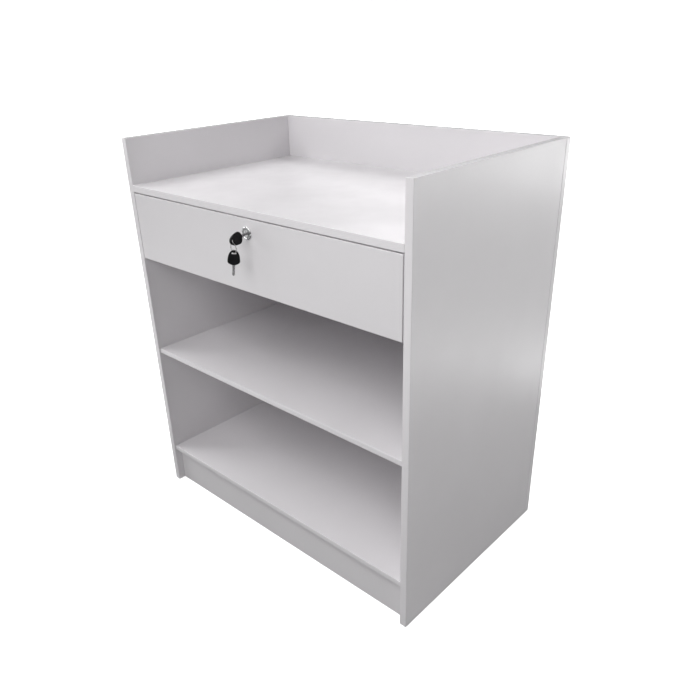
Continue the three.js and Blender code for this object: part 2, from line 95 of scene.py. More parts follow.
# ---- Node trees ----
class Finish:
    """A material, with short calls that add its nodes. Lengths are in metres."""

    def __init__(self, name, **sockets):
        self.material = bpy.data.materials.new(name)
        self.material.use_nodes = True
        self.tree = self.material.node_tree
        self.shader = self.tree.nodes["Principled BSDF"]
        for socket, value in sockets.items():
            self.shader.inputs[socket.replace("_", " ")].default_value = value
        coordinates = self.node("ShaderNodeTexCoord")
        self.place = coordinates.outputs["Object"]
        self.normal = coordinates.outputs["Normal"]

    def node(self, kind, **settings):
        made = self.tree.nodes.new(kind)
        for name, value in settings.items():
            setattr(made, name, value)
        return made

    def feed(self, target, source):
        if isinstance(source, bpy.types.NodeSocket):
            self.tree.links.new(source, target)
        else:
            target.default_value = source

    def math(self, operation, *values):
        made = self.node("ShaderNodeMath", operation=operation)
        for target, value in zip(made.inputs, values):
            self.feed(target, value)
        return made.outputs[0]

    def vector(self, operation, a, b):
        made = self.node("ShaderNodeVectorMath", operation=operation)
        self.feed(made.inputs[0], a)
        self.feed(made.inputs[1], b)
        return made.outputs[0]

    def split(self, vector):
        made = self.node("ShaderNodeSeparateXYZ")
        self.feed(made.inputs[0], vector)
        return made.outputs

    def noise(self, size, detail=2.0, stretch=(1, 1, 1)):
        """Noise whose features are about one size across, and longer along a stretched axis."""
        place = self.vector("MULTIPLY", self.place, tuple(1 / s for s in stretch))
        made = self.node("ShaderNodeTexNoise")
        self.feed(made.inputs["Vector"], place)
        made.inputs["Scale"].default_value = 1 / size
        made.inputs["Detail"].default_value = detail
        return made.outputs["Fac"]

    def cells(self, size):
        made = self.node("ShaderNodeTexVoronoi")
        self.feed(made.inputs["Vector"], self.place)
        made.inputs["Scale"].default_value = 1 / size
        return made

    def remap(self, value, source, target):
        made = self.node("ShaderNodeMapRange")
        self.feed(made.inputs["Value"], value)
        for socket, number in zip(made.inputs[1:5], (*source, *target)):
            socket.default_value = number
        return made.outputs["Result"]

    def mix(self, factor, a, b):
        """A colour between a and b. A Mix node's colour sockets follow its float and vector ones."""
        made = self.node("ShaderNodeMix", data_type="RGBA")
        self.feed(made.inputs["Factor"], factor)
        self.feed(made.inputs[6], a)
        self.feed(made.inputs[7], b)
        return made.outputs[2]

    def bump(self, height, depth, below=None):
        """A bump of a height between 0 and 1 that stands depth high, over the bump below it."""
        made = self.node("ShaderNodeBump")
        made.inputs["Distance"].default_value = depth
        self.feed(made.inputs["Height"], height)
        if below is not None:
            self.feed(made.inputs["Normal"], below)
        return made.outputs["Normal"]

    def finish(self, colour, roughness, normal):
        self.feed(self.shader.inputs["Base Color"], colour)
        self.feed(self.shader.inputs["Roughness"], roughness)
        self.feed(self.shader.inputs["Normal"], normal)
        return self.material


def shade(colour, factor):
    return (*(channel * factor for channel in colour[:3]), 1)


# ---- Finishes ----
WHITE = (0.86, 0.84, 0.86, 1)
CHIPBOARD_DARK = (0.23, 0.15, 0.085, 1)
CHIPBOARD_LIGHT = (0.56, 0.42, 0.27, 1)
EDGE_BAND = 1.0 * MM  # thickness of the plastic edging
EDGE_WHITE_AND_HIGHLIGHT = 1.06  # the narrow faces are a brighter white: partly the plastic edging's own tone, partly painted highlight for the light that the edges catch
GLUE_LINE = 0.07 * MM
RAW_DEPTH = 0.45 * MM  # how far below a board's faces its raw core shows, in its holes and grooves
WIDE_FACE = 0.6  # least part of a normal across the board that makes its face a wide one
BROAD = (0.3, 0.7)  # the range of a noise's values that a finish stretches out
TIGHT = (0.35, 0.65)  # the same, for stronger patches


def chipboard(finish):
    """The raw particles of a board's core, seen only inside its holes and grooves."""
    chips = finish.cells(1.6 * MM).outputs["Color"]
    grain = finish.split(chips)[0]
    return finish.mix(grain, CHIPBOARD_DARK, CHIPBOARD_LIGHT)


def box_distances(finish, low, high):
    """Distance below the nearest face of the board's box, and distance to its nearest edge."""
    from_low = finish.vector("SUBTRACT", finish.place, tuple(low))
    from_high = finish.vector("SUBTRACT", tuple(high), finish.place)
    dx, dy, dz = finish.split(finish.vector("MINIMUM", from_low, from_high))
    smallest = finish.math("MINIMUM", finish.math("MINIMUM", dx, dy), dz)
    largest = finish.math("MAXIMUM", finish.math("MAXIMUM", dx, dy), dz)
    total = finish.math("ADD", finish.math("ADD", dx, dy), dz)
    middle = finish.math("SUBTRACT", finish.math("SUBTRACT", total, smallest), largest)
    return smallest, middle


def melamine(node):
    """White melamine board: a fine orange peel on its faces, plastic edging with a hairline glue joint,
    scuffed arrises, and the raw core where the board is drilled or grooved."""
    low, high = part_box(node)
    size = high - low
    thin = min(range(3), key=lambda axis: size[axis])
    finish = Finish(f"melamine_{node}", Specular_IOR_Level=0.5)
    depth, edge = box_distances(finish, low, high)
    across = finish.math("ABSOLUTE", finish.split(finish.normal)[thin])
    narrow = finish.math("LESS_THAN", across, WIDE_FACE)

    cloud = finish.remap(finish.noise(160 * MM, 3), BROAD, (0, 1))
    fleck = finish.remap(finish.noise(2.4 * MM, 2), TIGHT, (0, 1))
    face = finish.mix(cloud, shade(WHITE, 0.985), shade(WHITE, 1.012))
    face = finish.mix(finish.math("MULTIPLY", fleck, 0.25), face, shade(WHITE, 0.97))
    # narrow faces get a brighter white: partly the edging's own tone, partly painted highlight for the
    # light the edges catch
    face = finish.mix(narrow, face, shade(WHITE, EDGE_WHITE_AND_HIGHLIGHT))
    off_joint = finish.math("ABSOLUTE", finish.math("SUBTRACT", edge, EDGE_BAND))
    joint = finish.math("LESS_THAN", off_joint, GLUE_LINE)
    on_face = finish.math("SUBTRACT", 1.0, narrow)
    joint = finish.math("MULTIPLY", finish.math("MULTIPLY", joint, on_face), 0.4)
    face = finish.mix(joint, face, shade(WHITE, 0.55))

    scuffs = finish.remap(finish.noise(9 * MM, 4), (0.50, 0.62), (0, 0.35))
    arris = finish.remap(edge, (0.0, 0.9 * MM), (1, 0))
    worn = finish.math("MULTIPLY", scuffs, arris)
    face = finish.mix(worn, face, shade(WHITE, 0.80))
    raw = finish.math("GREATER_THAN", depth, RAW_DEPTH)
    colour = finish.mix(raw, face, chipboard(finish))

    smudges = finish.remap(finish.noise(70 * MM, 4), TIGHT, (0.20, 0.26))
    sheen = finish.math("MULTIPLY_ADD", narrow, -0.04, smudges)
    sheen = finish.math("MULTIPLY_ADD", worn, 0.4, sheen)
    roughness = finish.math("MAXIMUM", sheen, finish.math("MULTIPLY", raw, 0.85))

    peel = finish.bump(finish.noise(1.7 * MM, 2), 0.012 * MM)
    pores = finish.bump(finish.noise(0.32 * MM, 1), 0.004 * MM, below=peel)
    stretch = tuple(1 if axis == thin else 60 for axis in range(3))
    lines = finish.math("MULTIPLY", finish.noise(0.5 * MM, 2, stretch), narrow)
    drawn = finish.bump(lines, 0.008 * MM, below=pores)
    rough_core = finish.math("MULTIPLY", finish.noise(1.1 * MM, 4), raw)
    normal = finish.bump(rough_core, 0.35 * MM, below=drawn)
    return finish.finish(colour, roughness, normal)


def hardboard():
    """Thin hardboard, white on both faces: smooth lacquer on top, painted screen-marked fibre below."""
    finish = Finish("hardboard", Specular_IOR_Level=0.4)
    below = finish.math("LESS_THAN", finish.split(finish.normal)[2], 0.5)
    fibre = finish.remap(finish.noise(3 * MM, 5, (4, 1, 1)), BROAD, (0, 1))
    painted = finish.mix(fibre, shade(WHITE, 0.90), shade(WHITE, 0.97))
    cloud = finish.remap(finish.noise(90 * MM, 3), BROAD, (0, 1))
    lacquer = finish.mix(cloud, shade(WHITE, 0.95), shade(WHITE, 1.0))
    screen = finish.cells(1.8 * MM).outputs["Distance"]
    screen = finish.bump(finish.math("MULTIPLY", screen, below), 0.12 * MM)
    normal = finish.bump(finish.noise(2.2 * MM, 3), 0.015 * MM, below=screen)
    roughness = finish.remap(finish.noise(40 * MM, 4), BROAD, (0.42, 0.55))
    return finish.finish(finish.mix(below, lacquer, painted), roughness, normal)


def zinc_plate():
    """Bright zinc plate on rolled steel, with faint rolling marks along the sheet and handling stains."""
    finish = Finish("zinc_plate", Metallic=1.0)
    cloud = finish.remap(finish.noise(14 * MM, 5), BROAD, (0, 1))
    colour = finish.mix(cloud, (0.60, 0.615, 0.63, 1), (0.74, 0.745, 0.75, 1))
    rolling = finish.noise(0.35 * MM, 3, (1, 45, 1))
    grain = finish.bump(rolling, 0.006 * MM)
    normal = finish.bump(finish.noise(1.3 * MM, 2), 0.006 * MM, below=grain)
    roughness = finish.remap(finish.noise(6 * MM, 4), BROAD, (0.24, 0.42))
    return finish.finish(colour, roughness, normal)


def die_cast_zinc():
    """The dull, slightly pitted skin of a zinc die casting."""
    finish = Finish("die_cast_zinc", Metallic=1.0)
    cloud = finish.remap(finish.noise(5 * MM, 5), BROAD, (0, 1))
    colour = finish.mix(cloud, (0.42, 0.43, 0.44, 1), (0.56, 0.565, 0.57, 1))
    pits = finish.remap(finish.noise(0.5 * MM, 3), (0.25, 0.5), (0, 1))
    normal = finish.bump(pits, 0.03 * MM)
    roughness = finish.remap(finish.noise(2 * MM, 4), BROAD, (0.42, 0.6))
    return finish.finish(colour, roughness, normal)


def chrome():
    """Chrome plate, wiped: fine hairlines and faint finger marks."""
    finish = Finish("chrome", Metallic=1.0)
    cloud = finish.remap(finish.noise(4 * MM, 4), TIGHT, (0, 1))
    colour = finish.mix(cloud, (0.80, 0.805, 0.81, 1), (0.88, 0.885, 0.89, 1))
    roughness = finish.remap(finish.noise(2.5 * MM, 5), (0.35, 0.7), (0.07, 0.2))
    normal = finish.bump(finish.noise(0.25 * MM, 2, (8, 1, 1)), 0.0012 * MM)
    return finish.finish(colour, roughness, normal)


def nickel_plate(name, tone):
    """Nickel plate on brass, brushed along the key, with duller patches where it has been handled."""
    finish = Finish(name, Metallic=1.0)
    cloud = finish.remap(finish.noise(3 * MM, 4), BROAD, (0, 1))
    colour = finish.mix(cloud, shade(tone, 0.85), shade(tone, 1.05))
    roughness = finish.remap(finish.noise(1.5 * MM, 4), BROAD, (0.2, 0.38))
    normal = finish.bump(finish.noise(0.15 * MM, 2, (1, 20, 20)), 0.003 * MM)
    return finish.finish(colour, roughness, normal)


def black_plastic():
    """Moulded black plastic with a fine spark-eroded texture that has rubbed shiny in patches."""
    finish = Finish("black_plastic", Specular_IOR_Level=0.2)
    cloud = finish.remap(finish.noise(5 * MM, 4), TIGHT, (0, 1))
    colour = finish.mix(cloud, (0.004, 0.004, 0.005, 1), (0.009, 0.008, 0.010, 1))
    roughness = finish.remap(finish.noise(4 * MM, 5), TIGHT, (0.34, 0.55))
    texture = finish.bump(finish.noise(0.22 * MM, 3), 0.012 * MM)
    return finish.finish(colour, roughness, texture)


FINISHES = {
    "hardboard": hardboard(),
    "zinc": zinc_plate(),
    "die_cast": die_cast_zinc(),
    "chrome": chrome(),
    "nickel": nickel_plate("nickel_plate", (0.70, 0.69, 0.68, 1)),
    # nickel of a darker tone, given to the key blades
    "dark_nickel": nickel_plate("dark_nickel", (0.34, 0.33, 0.34, 1)),
    "black_plastic": black_plastic(),
}


# ---- Mesh building ----
def ring_faces(mesh, rings, close):
    """Quads between neighbouring rings of vertices. Closed rings, and the last joins the first if close."""
    pairs = list(zip(rings, rings[1:]))
    if close:
        pairs.append((rings[-1], rings[0]))
    for lower, upper in pairs:
        count = len(lower)
        for i in range(count):
            j = (i + 1) % count
            mesh.faces.new((lower[i], lower[j], upper[j], upper[i]))


def inset(outline, distance):
    """A closed counter-clockwise outline moved inwards, or outwards for a negative distance."""
    moved = []
    count = len(outline)
    for i, point in enumerate(outline):
        before = (point - outline[i - 1]).normalized()
        after = (outline[(i + 1) % count] - point).normalized()
        normal_before = Vector((-before.y, before.x))
        normal_after = Vector((-after.y, after.x))
        share = 1 + normal_before.dot(normal_after)
        moved.append(point + (normal_before + normal_after) * (distance / max(share, 0.4)))
    return moved


def quarter_turn(steps):
    """Angles from 0 to a quarter of a turn."""
    return [math.pi / 2 * i / steps for i in range(steps + 1)]


def rounded_rims(thickness, radius, steps):
    """Inset and height of each ring of a plate whose two rims are rounded."""
    lower = [(radius * (1 - math.sin(a)), radius * (1 - math.cos(a))) for a in quarter_turn(steps)]
    return lower + [(shift, thickness - height) for shift, height in reversed(lower)]


def stack(outline, rings):
    """A closed solid of one outline repeated at each (inset, height)."""
    mesh = bmesh.new()
    made = []
    for shift, height in rings:
        points = inset(outline, shift) if shift else outline
        made.append([mesh.verts.new((p.x, p.y, height)) for p in points])
    ring_faces(mesh, made, close=False)
    mesh.faces.new(tuple(reversed(made[0])))
    mesh.faces.new(tuple(made[-1]))
    return mesh


def lathe(profile, segments):
    """A solid turned round Z. The profile is (radius, height) from the axis, or closed on itself."""
    mesh = bmesh.new()
    rings = []
    for radius, height in profile:
        if radius == 0:
            rings.append([mesh.verts.new((0, 0, height))])
            continue
        angles = (math.tau * i / segments for i in range(segments))
        rings.append([mesh.verts.new((radius * math.cos(a), radius * math.sin(a), height)) for a in angles])
    pairs = list(zip(rings, rings[1:]))
    if len(rings[0]) > 1:
        pairs.append((rings[-1], rings[0]))
    for lower, upper in pairs:
        for i in range(segments):
            j = (i + 1) % segments
            corners = [ring[k % len(ring)] for ring, k in ((lower, i), (lower, j), (upper, j), (upper, i))]
            mesh.faces.new(tuple(dict.fromkeys(corners)))
    return mesh


def fillet(points, radius, steps=5):
    """An open outline with each inner corner turned into an arc."""
    path = [points[0]]
    for before, corner, after in zip(points, points[1:], points[2:]):
        start = corner + (before - corner).normalized() * radius
        end = corner + (after - corner).normalized() * radius
        for i in range(steps + 1):
            t = i / steps
            path.append(start * (1 - t) ** 2 + corner * (2 * t * (1 - t)) + end * t**2)
    path.append(points[-1])
    return path


def bezier(*points, steps):
    """Points along a Bezier curve of any degree, without its last one."""
    path = []
    for i in range(steps):
        level = [Vector(p) for p in points]
        while len(level) > 1:
            level = [a.lerp(b, i / steps) for a, b in zip(level, level[1:])]
        path.append(level[0])
    return path


def stadium(half_length, radius, centre=(0, 0), steps=10):
    """A slot outline along X: two half circles joined by straight lines."""
    path = []
    for sign in (1, -1):
        middle = Vector(centre) + Vector((sign * (half_length - radius), 0))
        for i in range(steps + 1):
            angle = math.pi * (i / steps - 0.5) + (0 if sign > 0 else math.pi)
            path.append(middle + Vector((math.cos(angle), math.sin(angle))) * radius)
    return path


def rectangle(x, y):
    return [Vector((x[0], y[0])), Vector((x[1], y[0])), Vector((x[1], y[1])), Vector((x[0], y[1]))]


def to_object(name, mesh, matrix=None):
    """An object with the bmesh as its own mesh, its faces pointing out."""
    if matrix is not None:
        bmesh.ops.transform(mesh, matrix=matrix, verts=mesh.verts)
    bmesh.ops.recalc_face_normals(mesh, faces=mesh.faces)
    data = bpy.data.meshes.new(name)
    mesh.to_mesh(data)
    mesh.free()
    made = bpy.data.objects.new(name, data)
    SCENE.collection.objects.link(made)
    return made


def carve(target, cutters):
    """Cuts the cutters out of the target and deletes them."""
    for cutter in cutters:
        modifier = target.modifiers.new("cut", "BOOLEAN")
        modifier.operation = "DIFFERENCE"
        modifier.solver = "EXACT"
        modifier.object = cutter
    graph = bpy.context.evaluated_depsgraph_get()
    made = bpy.data.meshes.new_from_object(target.evaluated_get(graph))
    target.modifiers.clear()
    target.data = made
    for cutter in cutters:
        bpy.data.objects.remove(cutter)


def smooth(piece, limit=35):
    """Smooth shading that keeps edges sharper than the limit, in degrees, and flat faces flat."""
    mesh = bmesh.new()
    mesh.from_mesh(piece.data)
    bmesh.ops.remove_doubles(mesh, verts=mesh.verts, dist=1e-7)
    for face in mesh.faces:
        face.smooth = True
    for edge in mesh.edges:
        sharp = len(edge.link_faces) == 2 and edge.calc_face_angle() > math.radians(limit)
        edge.smooth = not sharp
    mesh.to_mesh(piece.data)
    mesh.free()
    weighted = piece.modifiers.new("weighted_normals", "WEIGHTED_NORMAL")
    weighted.keep_sharp = True


def show(piece, material, body, replaces=()):
    """Gives a new piece its finish and its body, and hides the CAD nodes that it stands for."""
    piece.data.materials.clear()
    piece.data.materials.append(material)
    smooth(piece)
    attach(piece, body)
    if replaces:
        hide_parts(*replaces)


# ---- CAD nodes whose edges are rounded ----
FLAT_ANGLE = math.radians(1)  # faces that meet at less are joined into one
SHARP_ANGLE = math.radians(50)  # edges sharper than this are rounded
BEVEL_STEPS = 3


def body_of(node):
    return frame["nodes"][node]["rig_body"]


def on_box_edge(edge, low, high):
    """Whether an edge runs along one of the twelve edges of the node's box."""
    tolerance = 1e-5
    faces = 0
    for axis in range(3):
        for limit in (low[axis], high[axis]):
            faces += all(abs(vertex.co[axis] - limit) < tolerance for vertex in edge.verts)
    return faces >= 2


def rounded_copy(node, suffix, material, radius, box_edges_only=False):
    """A copy of a CAD node with its sharp edges rounded, which stands for the node."""
    mesh = bmesh.new()
    mesh.from_mesh(frame["nodes"][node].data)
    bmesh.ops.remove_doubles(mesh, verts=mesh.verts, dist=1e-6)
    bmesh.ops.dissolve_limit(
        mesh, angle_limit=FLAT_ANGLE, use_dissolve_boundaries=False,
        verts=mesh.verts, edges=mesh.edges,
    )
    low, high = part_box(node)
    sharp = [
        edge for edge in mesh.edges
        if len(edge.link_faces) == 2 and edge.calc_face_angle() > SHARP_ANGLE
        and (not box_edges_only or on_box_edge(edge, low, high))
    ]
    bmesh.ops.bevel(
        mesh, geom=sharp, offset=radius, offset_type="OFFSET", segments=BEVEL_STEPS, profile=0.5,
        affect="EDGES", clamp_overlap=True,
    )
    piece = to_object(f"{node}_{suffix}", mesh)
    show(piece, material, body_of(node), [node])


BOARDS = (
    "left_side_panel", "right_side_panel", "customer_panel", "counter_top", "middle_shelf", "bottom_shelf",
    "toe_kick", "drawer_front", "drawer_left_side", "drawer_right_side", "drawer_back",
)
BOARD_ARRIS = 1.0 * MM


def make_boards():
    for node in BOARDS:
        rounded_copy(node, "board", melamine(node), BOARD_ARRIS, box_edges_only=True)
    rounded_copy("drawer_bottom", "sheet", FINISHES["hardboard"], 0.2 * MM)


# ---- Plain hardware: the CAD shapes with their edges rounded ----
def make_fittings():
    """Cams, bolts, shelf pins, ball cages and the pressed plates."""
    cams = [node for node in frame["nodes"] if node.endswith("_cam")]
    bolts = [f"{node[:-4]}_bolt" for node in cams]
    cages = [f"{side}_slide_{place}_ball_cage" for side, _ in SIDES for place in ("outer", "inner")]
    plates = ["lock_strike_plate", "lock_back_plate", "lock_bolt"]
    for node in cams + bolts + cages + plates:
        rounded_copy(node, "steel", FINISHES["zinc"], 0.15 * MM)
    for side, _ in SIDES:
        for end in ENDS:
            rounded_copy(f"shelf_pin_{side}_{end}", "steel", FINISHES["nickel"], 0.2 * MM)


# ---- Screws ----
def pan_head_screw(name, face, direction, radius, body, replaces=()):
    """A pan head with a cross recess and a short stretch of shank. face is where the head sits."""
    height = radius * 0.62
    shank = radius * 0.5
    foot = [(0, -radius), (shank, -radius), (shank, 0), (radius * 0.96, 0), (radius, height * 0.1)]
    dome = [(radius * math.cos(a), height * (0.35 + 0.65 * math.sin(a))) for a in quarter_turn(6)]
    dome[-1] = (0, height)
    screw = to_object(name, lathe(foot + dome, 32))
    cutters = []
    for long, short in ((0.55, 0.11), (0.11, 0.55)):
        x = (-radius * long, radius * long)
        y = (-radius * short, radius * short)
        flared = [(radius * 0.06, height * 0.35), (0, height * 1.2)]
        cutters.append(to_object("recess", stack(rectangle(x, y), flared)))
    carve(screw, cutters)
    turn = Vector(direction).to_track_quat("Z", "Y").to_matrix().to_4x4()
    screw.data.transform(Matrix.Translation(face) @ turn)
    show(screw, FINISHES["zinc"], body, replaces)


def box_middle(node):
    low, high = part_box(node)
    return (low + high) / 2


# ---- Drawer slides ----
SHEET = 1.2 * MM
RAIL_CORNER = 1.6 * MM
RAILS = {
    # web and flange edge (from the side panel), half height, lip
    "cabinet_rail": (0.2 * MM, 12.2 * MM, 22.75 * MM, 2.6 * MM),
    "middle_rail": (2.8 * MM, 11.4 * MM, 16.9 * MM, 0),
    "drawer_rail": (12.8 * MM, 5.6 * MM, 10.8 * MM, 0),
}
BALLS = {
    # height of the ball rows from the slide's centre line, distance from the side panel, ball radius
    "outer": (19.22 * MM, 7.2 * MM, 2.2 * MM),
    "inner": (13.25 * MM, 7.8 * MM, 2.3 * MM),
}
BALL_PITCH = 14 * MM
SCREW_ROWS = (37 * MM, 165 * MM, 325 * MM)  # from the front of the slide
WINDOW_ROWS = (90 * MM, 225 * MM, 380 * MM)
SCREW_HOLE = (2.3 * MM, 2.3 * MM)  # half length and radius of an opening in a rail's web
WINDOW = (9 * MM, 3.2 * MM)
RAIL_SCREW_RADIUS = 3.2 * MM


def rail_outline(web, edge, half_height, lip):
    """The section of a rolled channel: x from the side panel, y from the slide's centre line."""
    inward = 1 if edge > web else -1
    x_web = web + inward * SHEET / 2
    x_edge = edge - inward * SHEET / 2
    y_flange = half_height - SHEET / 2
    upper = [Vector((edge, y_flange))]
    if lip:
        upper = [Vector((x_edge, half_height - lip)), Vector((x_edge, y_flange))]
    upper.append(Vector((x_web, y_flange)))
    lower = [Vector((point.x, -point.y)) for point in reversed(upper)]
    middle = fillet(upper + lower, RAIL_CORNER)
    return strip_outline(middle, SHEET / 2)


def strip_outline(path, half_width):
    """The closed outline of a strip of even width along an open path."""
    sides = ([], [])
    for i, point in enumerate(path):
        before = (point - path[i - 1]).normalized() if i else None
        after = (path[i + 1] - point).normalized() if i + 1 < len(path) else None
        along = ((before or after) + (after or before)).normalized()
        normal = Vector((-along.y, along.x)) * half_width
        sides[0].append(point + normal)
        sides[1].append(point - normal)
    return sides[0] + sides[1][::-1]


def slide_frame(side, sign):
    """Turns (distance from the side panel, height, distance from the front) into the object's frame."""
    panel_low, panel_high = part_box(f"{side}_side_panel")
    low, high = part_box(f"{side}_slide_cabinet_rail")
    inner_face = panel_low.x if sign > 0 else panel_high.x
    columns = Matrix(((-sign, 0, 0), (0, 0, 1), (0, 1, 0))).to_4x4()
    return Matrix.Translation((inner_face, low.y, (low.z + high.z) / 2)) @ columns


def web_slot(place, web, row, half_length, radius):
    """A cutter for a slot through a rail's web, along the rail."""
    outline = stadium(half_length, radius)
    across = Matrix(((0, 0, 1), (0, 1, 0), (1, 0, 0))).to_4x4()
    middle = Matrix.Translation((web - 2 * SHEET, 0, row))
    return to_object("slot", stack(outline, [(0, 0), (0, 4 * SHEET)]), place @ middle @ across)


def make_rail(side, place, kind):
    node = f"{side}_slide_{kind}"
    web, edge, half_height, lip = RAILS[kind]
    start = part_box(f"{side}_slide_cabinet_rail")[0].y
    low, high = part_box(node)
    lengths = [(0, low.y - start), (0, high.y - start)]
    rail = to_object(f"{node}_rolled", stack(rail_outline(web, edge, half_height, lip), lengths), place)
    slots = [web_slot(place, web, row, *WINDOW) for row in WINDOW_ROWS]
    slots += [web_slot(place, web, row, *SCREW_HOLE) for row in SCREW_ROWS]
    carve(rail, slots)
    show(rail, FINISHES["zinc"], body_of(node), [node])


def make_balls(side, place, kind):
    """The steel balls of one cage, in an upper and a lower row."""
    height, depth, radius = BALLS[kind]
    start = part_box(f"{side}_slide_cabinet_rail")[0].y
    low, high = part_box(f"{side}_slide_{kind}_ball_cage")
    count = int((high.y - low.y) / BALL_PITCH)
    first = (low.y + high.y) / 2 - start - (count - 1) / 2 * BALL_PITCH
    mesh = bmesh.new()
    for level in (height, -height):
        for i in range(count):
            spot = Matrix.Translation((depth, level, first + i * BALL_PITCH))
            bmesh.ops.create_icosphere(mesh, subdivisions=3, radius=radius, matrix=spot)
    balls = to_object(f"{side}_slide_{kind}_balls", mesh, place)
    show(balls, FINISHES["chrome"], body_of(f"{side}_slide_{kind}_ball_cage"))


def make_slides():
    for side, sign in SIDES:
        place = slide_frame(side, sign)
        for kind in RAILS:
            make_rail(side, place, kind)
        for kind in BALLS:
            make_balls(side, place, kind)
        web_face = RAILS["drawer_rail"][0] - SHEET
        for number, row in enumerate(SCREW_ROWS, 1):
            face = place @ Vector((web_face, 0, row))
            name = f"{side}_drawer_rail_screw_{number}"
            pan_head_screw(name, face, (sign, 0, 0), RAIL_SCREW_RADIUS, "drawer")


# ---- Lock ----
ROSETTE_RADIUS = 13 * MM
ROSETTE_BORE = 9.8 * MM
ROSETTE_RIM = 1.7 * MM  # width of the rounded rim
ROSETTE_DOME = 1.9 * MM  # how far the rim falls back from the crown
CASE_SCREW_RADIUS = 2.9 * MM
CASE_SCREW_HEAD = 1.9 * MM  # from the back of the screw's head to its seat
RIVET_RADIUS = 1.6 * MM
RIVET_HEIGHT = 0.75 * MM
RIVET_COLUMNS = (-11 * MM, 11 * MM)  # from the back plate's middle
RIVET_ROWS = (8 * MM, 34 * MM)  # above the foot of the lock case
STRIKE_SCREW_RADIUS = 2.8 * MM
STRIKE_SCREW_INSET = 4.5 * MM


def lathe_along_y(name, profile, place):
    """A turned piece whose profile is (radius, distance into the drawer) from the place."""
    turn = Matrix(((1, 0, 0), (0, 0, 1), (0, -1, 0))).to_4x4()
    return to_object(name, lathe(profile, 72), Matrix.Translation(place) @ turn)


def make_rosette():
    """The chrome ring round the lock: a domed rim that falls to a bevelled bore."""
    low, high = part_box("lock_rosette")
    middle = (low + high) / 2
    depth = high.y - low.y
    crown = ROSETTE_RADIUS - ROSETTE_RIM
    dome = [
        (crown + (ROSETTE_RADIUS - crown) * math.cos(a), ROSETTE_DOME * (1 - math.sin(a)))
        for a in quarter_turn(8)
    ]
    profile = [
        (ROSETTE_BORE, depth), (ROSETTE_RADIUS, depth), *dome,
        (ROSETTE_BORE + 0.5 * MM, 0.05 * MM), (ROSETTE_BORE, 0.6 * MM),
    ]
    rosette = lathe_along_y("lock_rosette_ring", profile, (middle.x, low.y, middle.z))
    show(rosette, FINISHES["chrome"], "drawer", ["lock_rosette"])


def make_case_screws():
    for side, _ in SIDES:
        node = f"lock_screw_{side}"
        low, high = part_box(node)
        case_back = high.y - CASE_SCREW_HEAD
        face = Vector(((low.x + high.x) / 2, case_back, (low.z + high.z) / 2))
        pan_head_screw(f"{node}_pan", face, (0, 1, 0), CASE_SCREW_RADIUS, "drawer", replaces=[node])


def rivet(name, face, body):
    """A peened rivet head that stands on a plate's back face."""
    shank = RIVET_RADIUS * 0.7
    dome = [(RIVET_RADIUS * math.cos(a), -RIVET_HEIGHT * math.sin(a)) for a in quarter_turn(6)[:-1]]
    profile = [(0, 0.3 * MM), (shank, 0.3 * MM), (shank, 0), *dome, (0, -RIVET_HEIGHT)]
    turn = Matrix(((1, 0, 0), (0, 0, -1), (0, 1, 0))).to_4x4()
    head = to_object(name, lathe(profile, 24), Matrix.Translation(face) @ turn)
    show(head, FINISHES["zinc"], body)


def make_case_rivets():
    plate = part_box("lock_back_plate")
    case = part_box("lock_case")
    spots = [(x, z) for z in RIVET_ROWS for x in RIVET_COLUMNS]
    for number, (x, z) in enumerate(spots, 1):
        face = Vector(((plate[0].x + plate[1].x) / 2 + x, plate[1].y, case[0].z + z))
        rivet(f"lock_rivet_{number}", face, "drawer")


def make_strike_screws():
    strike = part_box("lock_strike_plate")
    for side, sign in SIDES:
        reach = (strike[1].x - strike[0].x) / 2 - STRIKE_SCREW_INSET
        x = (strike[0].x + strike[1].x) / 2 + sign * reach
        face = Vector((x, (strike[0].y + strike[1].y) / 2, strike[0].z))
        pan_head_screw(f"strike_screw_{side}", face, (0, 0, -1), STRIKE_SCREW_RADIUS, "root")


def make_lock():
    make_rosette()
    rounded_copy("lock_plug", "turned", FINISHES["chrome"], 0.25 * MM)
    rounded_copy("lock_case", "casting", FINISHES["die_cast"], 0.35 * MM)
    make_case_screws()
    make_case_rivets()
    make_strike_screws()


# ---- Keys ----
# A key's own plane: x across the blade and y along it towards the tip, with y = 0 at the plug's face.
KEY_DROP = 0.9 * MM
KEY_SAG = math.radians(11)
KEY_NECK = 11 * MM
KEY_TIP = 10 * MM
KEY_TANG = 9 * MM
BLADE_HALF = 2.7 * MM
BLADE_THICKNESS = 2 * MM
BOW_LENGTH = 29.4 * MM
BOW_HALF = 12 * MM
BOW_THICKNESS = 5.6 * MM
BOW_HOLE = 23.4 * MM
BOW_HOLE_HALF = 4.8 * MM
BOW_HOLE_RADIUS = 2 * MM
DISH_RADIUS = 7.6 * MM  # the finger dish on each face of a bow
DISH_DEPTH = 0.7 * MM
DISH_MIDDLE = 11.5 * MM  # from the bow's shoulder
DISH_STRETCH = 1.12
SOCKET_PLAY = 0.2 * MM  # round the blade in its bow
RING_RADIUS = 10 * MM
RING_WIRE = 0.8 * MM
RING_PLAY = 0.7 * MM
RING_RAMP = 0.28  # radians in which one turn of the coil crosses to the next
RING_STEPS = 240
WIRE_GAP = 0.02 * MM
WIRE_SQUARENESS = 0.45  # 0 is a round wire and 1 a square one
WIRE_FILL = 0.86  # share of the CAD ring's wire that the coil fills
RING_YAW = math.radians(-8)
SPARE_YAW = math.radians(-31)
SPARE_TILT = math.radians(-6.5)
BITTING = (0.35, 0.9, 0.6, 1.0, 0.45)  # depth of each cut, in millimetres
BITTING_PITCH = 2.7 * MM


def key_plane(thickness):
    """Turns a plate's plane and thickness into the key's own frame, with the plate centred on it."""
    columns = Matrix(((0, 0, -1), (0, 1, 0), (1, 0, 0))).to_4x4()
    return columns @ Matrix.Translation((0, 0, -thickness / 2))


